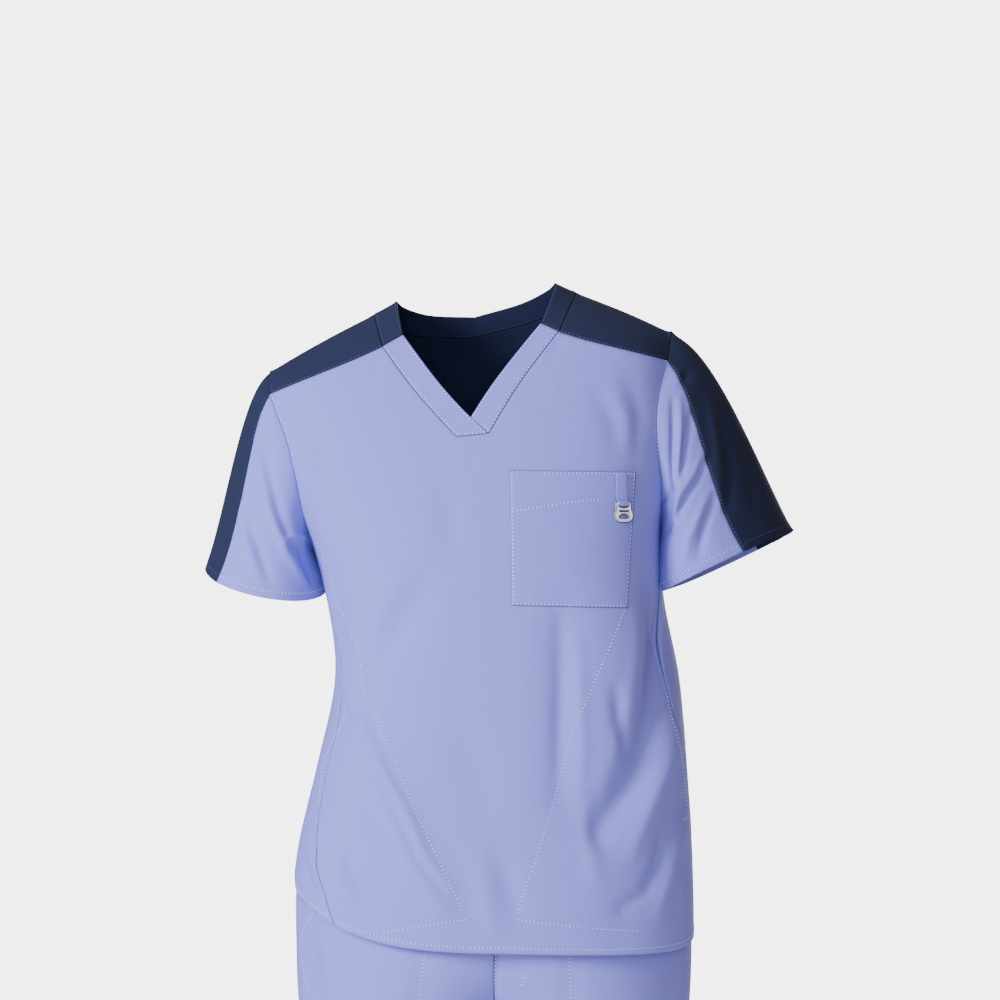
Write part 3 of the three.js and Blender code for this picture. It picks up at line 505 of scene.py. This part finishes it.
def rim_frames(mesh):
    """The free edges of a mesh: for each point on them its neighbours there and the way into the cloth."""
    uses = {}
    for polygon in mesh.polygons:
        for key in polygon.edge_keys:
            uses[key] = polygon.index if key not in uses else SHARED_EDGE
    frames = {}
    for key, face in uses.items():
        if face != SHARED_EDGE:
            centre = mesh.polygons[face].center
            for index, other in (key, key[::-1]):
                linked = frames.setdefault(index, {"links": [], "centres": []})
                linked["links"].append(other)
                linked["centres"].append(centre.copy())
    for index, linked in frames.items():
        here = mesh.vertices[index].co
        along = mesh.vertices[linked["links"][0]].co - mesh.vertices[linked["links"][-1]].co
        inward = sum(linked["centres"], Vector()) / len(linked["centres"]) - here
        if len(linked["links"]) == 2 and along.length:
            along.normalize()
            inward -= along * inward.dot(along)
        linked["inward"] = inward.normalized()
        linked["point"] = here.copy()
    return frames


def fold_height(points, fold):
    """Height of one fold at each point of the front view. It fades towards both ends of its line."""
    line = np.array(fold["points"], dtype=float) * MM
    flat = points[:, (0, 2)]
    lengths = np.linalg.norm(np.diff(line, axis=0), axis=1)
    starts = np.concatenate(([0], np.cumsum(lengths)))
    nearest = np.full(len(flat), np.inf)
    along = np.zeros(len(flat))
    for index, length in enumerate(lengths):
        step = line[index + 1] - line[index]
        share = np.clip(((flat - line[index]) @ step) / length**2, 0, 1)
        gap = np.linalg.norm(flat - line[index] - share[:, None] * step, axis=1)
        closer = gap < nearest
        nearest[closer] = gap[closer]
        along[closer] = (starts[index] + share * length)[closer]
    place = along / starts[-1]
    fade = np.sin(np.pi * (FOLD_FADE_START + FOLD_FADE_SPAN * place))
    return fold["depth"] * MM * fade * np.exp(-((nearest / (fold["width"] * MM)) ** 2))


def add_folds(mesh, table, side):
    """Pushes the cloth of the front side or the back side out or in along its own direction."""
    points = read_vectors(mesh, "co")
    normals = read_vectors(mesh, "normal")
    facing = np.clip(side * normals[:, 1] * FACING_GAIN, 0, 1)
    height = sum(fold_height(points, fold) for fold in rows(FOLD_COLUMNS, table))
    write_points(mesh, points + normals * (height * facing)[:, None])


def push_sleeve(name, mesh):
    """Moves the cloth of a sleeve against the body where the two touch."""
    points = read_vectors(mesh, "co")
    for push in rows(PUSH_COLUMNS, PUSHES):
        if name.startswith(push["sleeve"]):
            gap = np.linalg.norm(points - np.array(push["centre"]) * MM, axis=1)
            share = np.exp(-((gap / (push["spread"] * MM)) ** 2))
            points = points + share[:, None] * np.array(push["move"]) * MM
    write_points(mesh, points)


def raise_along_normals(mesh, height):
    write_points(mesh, read_vectors(mesh, "co") + read_vectors(mesh, "normal") * height)


def shape_cloth(name, mesh):
    """Folds one piece, and moves it where it lies against another."""
    for row in rows(FOLDED_COLUMNS, FOLDED):
        if name.startswith(row["pieces"]):
            add_folds(mesh, row["folds"], row["side"])
    if name.startswith("sleeve"):
        push_sleeve(name, mesh)
    if name.startswith("neckband"):
        raise_along_normals(mesh, BAND_RAISE)


def point_tree(points):
    tree = KDTree(len(points))
    for index, point in enumerate(points):
        tree.insert(point, index)
    tree.balance()
    return tree


def rim_tree(frames_of, names):
    """A search tree over the free edges of several pieces."""
    return point_tree([linked["point"] for name in names for linked in frames_of[name].values()])


def edge_part(frames, tree, sewn):
    """The edge points of a piece that meet the edges in the tree, or those that don't."""
    part = set()
    for index, linked in frames.items():
        _, _, gap = tree.find(linked["point"])
        if (gap < SEAM_REACH) == sewn:
            part.add(index)
    return part


def seam_groups(pieces):
    """For each edge point that meets other pieces, the nearest edge point of each of them and itself."""
    spots = [
        (name, index, linked["point"])
        for name, piece in pieces.items()
        for index, linked in rim_frames(piece.data).items()
    ]
    tree = point_tree([point for _, _, point in spots])
    groups = []
    for name, index, point in spots:
        nearest = {}
        for _, number, _ in sorted(tree.find_range(point, SEAM_REACH), key=lambda found: found[2]):
            nearest.setdefault(spots[number][0], spots[number][1])
        nearest[name] = index
        if len(nearest) > 1:
            groups.append((name, index, list(nearest.items())))
    return groups


def close_seams(pieces, groups):
    """Joins the edges of sewn pieces and sinks them a little, as a seam does, and marks them for painted
    shade.
    """
    points = {name: read_vectors(piece.data, "co") for name, piece in pieces.items()}
    joined = {name: places.copy() for name, places in points.items()}
    shade = {name: np.zeros(len(places)) for name, places in points.items()}
    normals = {name: read_vectors(piece.data, "normal") for name, piece in pieces.items()}
    for name, index, members in groups:
        middle = sum(points[other][place] for other, place in members) / len(members)
        direction = sum(normals[other][place] for other, place in members) / len(members)
        joined[name][index] = middle - direction * SEAM_DIP
        shade[name][index] = 1
    for name, piece in pieces.items():
        write_points(piece.data, joined[name])
        store_painted_seam_shade(piece.data, shade[name])


def dress(piece, finish, thickness):
    """Gives a piece of cloth its finish and its thickness, inwards from its outside."""
    piece.data.materials.clear()
    piece.data.materials.append(finish)
    wall = piece.modifiers.new("Thickness", "SOLIDIFY")
    wall.thickness = thickness
    wall.offset = -1
    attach(piece, GARMENTS)


def make_cloth(finishes):
    pieces = {}
    for row in rows(PIECE_COLUMNS, PIECES):
        name = row["node"]
        pieces[name] = smoothed(name + "_cloth", outer_skin(name, row["heart"]), row["levels"])
    groups = seam_groups(pieces)
    for name, piece in pieces.items():
        shape_cloth(name, piece.data)
    close_seams(pieces, groups)
    for row in rows(PIECE_COLUMNS, PIECES):
        piece = pieces[row["node"]]
        dress(piece, finishes[row["finish"]], row["thickness"])
        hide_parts(row["node"])
    return pieces


def tree_of(piece):
    shape = bmesh.new()
    shape.from_mesh(piece.data)
    tree = BVHTree.FromBMesh(shape)
    shape.free()
    return tree


def make_pocket(front, finish):
    """The patch pocket, laid on the front with its edges pressed down."""
    piece = smoothed("chest_pocket_cloth", outer_skin("chest_pocket", TRUNK), POCKET_LEVELS)
    tree = tree_of(front)
    mesh = piece.data
    points = read_vectors(mesh, "co")
    edge = set(rim_frames(mesh))
    for index, point in enumerate(points):
        place, normal, _, _ = tree.find_nearest(Vector(point))
        height = POCKET_RAISE * (POCKET_EDGE_SHARE if index in edge else 1)
        points[index] = place + normal * height
    write_points(mesh, points)
    # The pocket's free edge gets painted shade, a dark line like the shadow round its edge
    store_painted_seam_shade(mesh, [float(index in edge) for index in range(len(points))])
    dress(piece, finish, POCKET_CLOTH)
    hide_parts("chest_pocket")
    return piece


def edge_runs(frames, edge):
    """The points of a part of a piece's edge, in order, as one list for each unbroken run."""
    links = {index: [other for other in frames[index]["links"] if other in edge] for index in edge}
    unused = {index for index in edge if links[index]}
    runs = []
    while unused:
        ends = [index for index in unused if len(links[index]) == 1]
        here = min(ends) if ends else min(unused)
        run = []
        while here is not None:
            unused.discard(here)
            run.append(here)
            here = next((index for index in links[here] if index in unused), None)
        if len(run) >= SHORTEST_RUN:
            runs.append(run)
    return runs


def inner_paths(tree, frames, edge, distance):
    """Runs of edge points moved into the piece and laid on it."""
    paths = []
    for run in edge_runs(frames, edge):
        path = []
        for index in run:
            inside = frames[index]["point"] + frames[index]["inward"] * distance
            place, normal, _, _ = tree.find_nearest(inside)
            path.append((place, normal))
        paths.append(path)
    return paths


def smooth_line(points):
    """The same line with points added on a smooth curve through its own."""
    marks = [Vector(point) for point in (points[0], *points, points[-1])]
    line = []
    for before, start, end, after in zip(marks, marks[1:], marks[2:], marks[3:]):
        leave = start + (end - before) / CURVE_EASE
        reach = end - (after - start) / CURVE_EASE
        line += interpolate_bezier(start, leave, reach, end, CURVE_POINTS)[:-1]
    return [*line, marks[-1]]


def drawn_path(trees, points):
    """A line of the front view laid on the nearest of several pieces from the front."""
    places = []
    line = smooth_line(points)
    for start, end in zip(line, line[1:]):
        steps = max(int(math.dist(start, end) / DRAWN_STEP_MM), 1)
        for step in range(steps):
            x = start[0] + (end[0] - start[0]) * step / steps
            z = start[1] + (end[1] - start[1]) * step / steps
            viewpoint = Vector((x * MM, DRAWN_FROM_Y, z * MM))
            hits = [tree.ray_cast(viewpoint, Vector((0, 1, 0))) for tree in trees]
            found = [(gap, place, normal) for place, normal, _, gap in hits if place]
            if found:
                _, place, normal = min(found, key=lambda hit: hit[0])
                places.append((place, normal))
    return places


def add_stitch(shape, start, end, normal, radius):
    """A low pointed bead: two sides, a crown between them and a tip at each end."""
    along = (end - start).normalized()
    across = along.cross(normal).normalized() * radius
    top = normal * radius
    middle = (start + end) / 2
    left = shape.verts.new(middle + top * STITCH_SIDE_RISE + across)
    right = shape.verts.new(middle + top * STITCH_SIDE_RISE - across)
    crown = shape.verts.new(middle + top)
    tail = shape.verts.new(start + top * STITCH_TIP_RISE)
    head = shape.verts.new(end + top * STITCH_TIP_RISE)
    for corners in (
        (tail, left, crown),
        (tail, crown, right),
        (head, crown, left),
        (head, right, crown),
        (tail, head, left),
        (head, tail, right),
    ):
        shape.faces.new(corners)


def stitch_run(shape, places, offset, length, radius):
    """Adds a row of short raised stitches along a path of points and outward directions."""
    lengths = [0.0]
    for (first, _), (second, _) in zip(places, places[1:]):
        lengths.append(lengths[-1] + (second - first).length)
    step = STITCH_LENGTH + STITCH_GAP

    def place_at(distance):
        index = min(bisect.bisect_right(lengths, distance), len(lengths) - 1) - 1
        span = lengths[index + 1] - lengths[index]
        share = (distance - lengths[index]) / span if span else 0
        return places[index][0].lerp(places[index + 1][0], share), places[index][1]

    for number in range(int(lengths[-1] / step)):
        start, normal = place_at(number * step + offset)
        end, _ = place_at(number * step + offset + length)
        add_stitch(shape, start, end, normal, radius)


def stitch_object(name, runs, finish, offset, length, radius):
    shape = bmesh.new()
    for places in runs:
        if len(places) > 1:
            stitch_run(shape, places, offset, length, radius)
    piece = make_object(name, kept_mesh(name, shape))
    piece.data.materials.append(finish)
    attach(piece, GARMENTS)


def stitch_paths(pieces):
    """The paths of all top-stitching, by the colour of the cloth that they lie on."""
    finish_of = {row["node"]: row["finish"] for row in rows(PIECE_COLUMNS, PIECES)}
    finish_of["chest_pocket"] = "lavender"
    frames_of = {name: rim_frames(piece.data) for name, piece in pieces.items()}
    trees = {name: tree_of(piece) for name, piece in pieces.items()}
    trees["pocket_tab"] = tree_of(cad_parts["pocket_tab"])
    paths = {"lavender": [], "navy": []}
    for row in rows(SEAM_STITCH_COLUMNS, SEAM_STITCHES):
        name = row["node"]
        edge = edge_part(frames_of[name], rim_tree(frames_of, [row["neighbour"]]), True)
        paths[finish_of[name]] += inner_paths(trees[name], frames_of[name], edge, row["distance"] * MM)
    for row in rows(HEM_COLUMNS, HEMS):
        name = row["node"]
        others = [other for other in pieces if other != name]
        edge = edge_part(frames_of[name], rim_tree(frames_of, others), False)
        paths[finish_of[name]] += inner_paths(trees[name], frames_of[name], edge, row["distance"] * MM)
    for row in rows(DRAWN_COLUMNS, DRAWN_STITCHES):
        paths["lavender"].append(drawn_path([trees[name] for name in row["nodes"]], row["points"]))
    return paths


def make_stitches(pieces, finishes):
    paths = stitch_paths(pieces)
    for colour in ("lavender", "navy"):
        thread = finishes[colour + "_thread"]
        stitch_object("stitches_" + colour, paths[colour], thread, 0, STITCH_LENGTH, STITCH_RADIUS)
    # Dark dots between the lavender stitches are painted shade of the dips in the cloth
    stitch_shade_finish = finishes["needle_hole"]
    offset = STITCH_LENGTH + (STITCH_GAP - SHADE_DOT_LENGTH) / 2
    stitch_object("needle_holes", paths["lavender"], stitch_shade_finish, offset, SHADE_DOT_LENGTH, SHADE_DOT_RADIUS)


def rounded_copy(node, width, finish):
    """A CAD solid with its flat faces joined and its edges rounded."""
    shape = welded_solid(node)
    bmesh.ops.dissolve_limit(shape, angle_limit=FLAT_ANGLE, verts=shape.verts, edges=shape.edges)
    mesh = kept_mesh(node + "_rounded", shape)
    shade_smooth(mesh)
    piece = make_object(node + "_rounded", mesh)
    mesh.materials.append(finish)
    edges = piece.modifiers.new("Edges", "BEVEL")
    edges.width = width
    edges.segments = BEVEL_SEGMENTS
    edges.limit_method = "ANGLE"
    edges.angle_limit = BEVEL_ANGLE
    edges.harden_normals = True
    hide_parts(node)
    return piece


def edge_loops(shape, direction):
    """Loops of points round the flat face of a solid that looks in one direction, each in order."""
    faces = {face for face in shape.faces if face.normal.dot(direction) > FACE_MATCH}
    border = [edge for edge in shape.edges if sum(face in faces for face in edge.link_faces) == 1]
    links = {}
    for edge in border:
        for corner in edge.verts:
            links.setdefault(corner, []).append(edge.other_vert(corner))
    loops = []
    while links:
        here = next(iter(links))
        loop = []
        while here is not None:
            near = links.pop(here)
            loop.append(here.co.copy())
            here = next((other for other in near if other in links), None)
        if len(loop) > BEAD_SIDES:
            loops.append(loop)
    return loops


def loop_size(loop):
    return max((point - loop[0]).length for point in loop)


def bead_ring(bead, centre, out, direction, radius):
    """The points of a bead's cross-section, in the plane of two directions."""
    turns = [math.tau * side / BEAD_SIDES for side in range(BEAD_SIDES)]
    return [
        bead.verts.new(centre + (out * math.cos(turn) + direction * math.sin(turn)) * radius)
        for turn in turns
    ]


def bead_along(bead, loop, direction, shift, radius):
    """A round bead along a closed loop, moved away from the middle of the loop by the shift."""
    middle = sum(loop, Vector()) / len(loop)
    rings = []
    for index, point in enumerate(loop):
        along = (loop[(index + 1) % len(loop)] - loop[index - 1]).normalized()
        out = along.cross(direction).normalized()
        if out.dot(point - middle) < 0:
            out.negate()
        rings.append(bead_ring(bead, point + out * shift, out, direction, radius))
    for index, ring in enumerate(rings):
        before = rings[index - 1]
        for side in range(BEAD_SIDES):
            following = (side + 1) % BEAD_SIDES
            bead.faces.new((before[side], ring[side], ring[following], before[following]))


def rim_bead(node, kind, inset, radius, finish):
    """Round beads along the outer edge and round the slots of a flat metal piece, on both of its faces."""
    solid = welded_solid(node)
    solid.normal_update()
    largest = max(solid.faces, key=lambda face: face.calc_area())
    facing = largest.normal.copy()
    bead = bmesh.new()
    for direction in (facing, -facing):
        loops = edge_loops(solid, direction)
        outline = max(loops, key=loop_size)
        for loop in loops:
            shift = -inset if loop is outline else inset
            bead_along(bead, loop, direction, shift, radius)
    solid.free()
    bmesh.ops.recalc_face_normals(bead, faces=bead.faces)
    mesh = kept_mesh(node + kind, bead)
    shade_smooth(mesh)
    mesh.materials.append(finish)
    piece = make_object(node + kind, mesh)
    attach(piece, "ring")


def make_ring_and_tab(finishes):
    ring = rounded_copy("badge_ring", RING_BEVEL, finishes["silver"])
    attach(ring, "ring")
    rim_bead("badge_ring", "_bead", BEAD_INSET, BEAD_RADIUS, finishes["silver"])
    # A dark bead round the outline and in the slots: painted shadow
    rim_bead("badge_ring", "_edge", SHADOW_EDGE_INSET, SHADOW_EDGE_RADIUS, finishes["dark_metal"])
    tab = rounded_copy("pocket_tab", TAB_BEVEL, finishes["lavender"])
    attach(tab, GARMENTS)


def new_material(name):
    """A material, its node tree, its main shader and the coordinates of the object that it is on."""
    material = bpy.data.materials.new(name)
    material.use_nodes = True
    tree = material.node_tree
    place = tree.nodes.new("ShaderNodeTexCoord")
    return material, tree, tree.nodes["Principled BSDF"], place.outputs["Object"]


def noise(tree, place, scale, detail):
    node = tree.nodes.new("ShaderNodeTexNoise")
    node.inputs["Scale"].default_value = scale
    node.inputs["Detail"].default_value = detail
    tree.links.new(place, node.inputs["Vector"])
    return node.outputs["Fac"]


def weave_height(tree, place):
    """Plain weave: threads along and across the garment."""
    product = tree.nodes.new("ShaderNodeMath")
    product.operation = "MULTIPLY"
    for socket, direction in zip(product.inputs, ("X", "Z")):
        wave = tree.nodes.new("ShaderNodeTexWave")
        wave.bands_direction = direction
        wave.inputs["Scale"].default_value = WEAVE_SCALE
        wave.inputs["Distortion"].default_value = WEAVE_DISTORTION
        tree.links.new(place, wave.inputs["Vector"])
        tree.links.new(wave.outputs["Fac"], socket)
    return product.outputs[0]


def bump(tree, height, strength, depth):
    node = tree.nodes.new("ShaderNodeBump")
    node.inputs["Strength"].default_value = strength
    node.inputs["Distance"].default_value = depth
    tree.links.new(height, node.inputs["Height"])
    return node


def worn_shade(tree, place):
    """How worn the cloth looks from place to place, slowly and from fibre to fibre."""
    fibre = tree.nodes.new("ShaderNodeMath")
    fibre.operation = "MULTIPLY"
    fibre.inputs[1].default_value = FIBRE_SHARE
    tree.links.new(noise(tree, place, FIBRE_SCALE, FIBRE_DETAIL), fibre.inputs[0])
    shade = tree.nodes.new("ShaderNodeMath")
    shade.operation = "MULTIPLY_ADD"
    shade.inputs[1].default_value = CLOUD_SHARE
    tree.links.new(noise(tree, place, CLOUD_SCALE, CLOUD_DETAIL), shade.inputs[0])
    tree.links.new(fibre.outputs[0], shade.inputs[2])
    return shade.outputs[0]


def painted_seam_shade_mask(tree):
    """The narrow line of painted shade along a seam, read from the mesh."""
    seam = tree.nodes.new("ShaderNodeAttribute")
    seam.attribute_name = "seam"
    narrow = tree.nodes.new("ShaderNodeMath")
    narrow.operation = "POWER"
    narrow.inputs[1].default_value = SEAM_NARROWING
    tree.links.new(seam.outputs["Fac"], narrow.inputs[0])
    return narrow.outputs[0]


def cloth_finish(name, colour, worn, crease, sheen):
    """Woven cloth of three colours: its own, its worn one and a dark one painted as shade along its seams.
    """
    material, tree, shader, place = new_material(name)
    shader.inputs["Roughness"].default_value = CLOTH_ROUGHNESS
    shader.inputs["Sheen Weight"].default_value = sheen
    shader.inputs["Sheen Roughness"].default_value = SHEEN_ROUGHNESS
    shader.inputs["Specular IOR Level"].default_value = SPECULAR
    blend = tree.nodes.new("ShaderNodeMix")
    blend.data_type = "RGBA"
    blend.inputs["A"].default_value = colour
    blend.inputs["B"].default_value = worn
    tree.links.new(worn_shade(tree, place), blend.inputs["Factor"])
    # The crease colour is painted shade, laid along the seams
    painted_shade_mix = tree.nodes.new("ShaderNodeMix")
    painted_shade_mix.data_type = "RGBA"
    painted_shade_mix.inputs["B"].default_value = crease
    tree.links.new(painted_seam_shade_mask(tree), painted_shade_mix.inputs["Factor"])
    tree.links.new(blend.outputs["Result"], painted_shade_mix.inputs["A"])
    tree.links.new(painted_shade_mix.outputs["Result"], shader.inputs["Base Color"])
    weave = bump(tree, weave_height(tree, place), WEAVE_STRENGTH, WEAVE_DEPTH)
    crumple = bump(tree, noise(tree, place, CRUMPLE_SCALE, CRUMPLE_DETAIL), CRUMPLE_STRENGTH, CRUMPLE_DEPTH)
    tree.links.new(crumple.outputs["Normal"], weave.inputs["Normal"])
    tree.links.new(weave.outputs["Normal"], shader.inputs["Normal"])
    return material


def plain_finish(name, colour, roughness, metallic):
    material, tree, shader, place = new_material(name)
    shader.inputs["Metallic"].default_value = metallic
    shader.inputs["Base Color"].default_value = colour
    spread = tree.nodes.new("ShaderNodeMapRange")
    spread.inputs["To Min"].default_value = roughness - GRAIN_SPREAD
    spread.inputs["To Max"].default_value = roughness + GRAIN_SPREAD
    tree.links.new(noise(tree, place, GRAIN_SCALE, GRAIN_DETAIL), spread.inputs["Value"])
    tree.links.new(spread.outputs["Result"], shader.inputs["Roughness"])
    return material


def make_finishes():
    finishes = {
        row["key"]: plain_finish(row["name"], row["colour"], row["roughness"], row["metallic"])
        for row in rows(PLAIN_COLUMNS, PLAIN_FINISHES)
    }
    finishes["lavender"] = cloth_finish(
        "lavender_poplin", LAVENDER_COLOUR, LAVENDER_WORN, LAVENDER_PAINTED_SEAM_SHADE, LAVENDER_SHEEN
    )
    finishes["navy"] = cloth_finish("navy_poplin", NAVY_COLOUR, NAVY_WORN, NAVY_PAINTED_SEAM_SHADE, NAVY_SHEEN)
    return finishes


def make_floor(finish):
    bpy.ops.mesh.primitive_plane_add(size=FLOOR_SIZE, location=(0, 0, FLOOR_Z))
    floor = bpy.context.object
    floor.name = "floor"
    floor.data.materials.append(finish)


def make_world():
    """Soft light from all round, and bright paper wherever the camera sees past the object."""
    world = bpy.data.worlds.new("studio")
    world.use_nodes = True
    nodes = world.node_tree.nodes
    links = world.node_tree.links
    air = nodes["Background"]
    air.inputs["Color"].default_value = AMBIENT_COLOUR
    air.inputs["Strength"].default_value = AMBIENT
    paper = nodes.new("ShaderNodeBackground")
    paper.inputs["Color"].default_value = PAPER_COLOUR
    paper.inputs["Strength"].default_value = PAPER_GLOW
    seen = nodes.new("ShaderNodeLightPath")
    either = nodes.new("ShaderNodeMixShader")
    links.new(seen.outputs["Is Camera Ray"], either.inputs["Fac"])
    links.new(air.outputs["Background"], either.inputs[1])
    links.new(paper.outputs["Background"], either.inputs[2])
    links.new(either.outputs["Shader"], nodes["World Output"].inputs["Surface"])
    bpy.context.scene.world = world


def make_lights():
    for row in rows(LIGHT_COLUMNS, LIGHTS):
        data = bpy.data.lights.new(row["name"], "AREA")
        data.energy = row["power"]
        data.size = row["size"]
        data.color = LIGHT_COLOUR
        light = bpy.data.objects.new(row["name"], data)
        bpy.context.scene.collection.objects.link(light)
        light.location = row["place"]
        light.rotation_euler = (LIGHT_AIM - Vector(row["place"])).to_track_quat("-Z", "Y").to_euler()


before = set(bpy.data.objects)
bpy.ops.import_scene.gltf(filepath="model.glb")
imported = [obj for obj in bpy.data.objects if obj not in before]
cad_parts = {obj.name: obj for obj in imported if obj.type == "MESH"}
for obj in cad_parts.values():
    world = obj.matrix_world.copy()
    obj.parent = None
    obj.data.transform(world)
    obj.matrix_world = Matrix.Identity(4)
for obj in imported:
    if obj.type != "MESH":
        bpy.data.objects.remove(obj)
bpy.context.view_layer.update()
make_camera()
finishes = make_finishes()
pieces = make_cloth(finishes)
pieces["chest_pocket"] = make_pocket(pieces["top_front"], finishes["lavender"])
make_stitches(pieces, finishes)
make_ring_and_tab(finishes)
make_floor(finishes["floor"])
make_world()
make_lights()
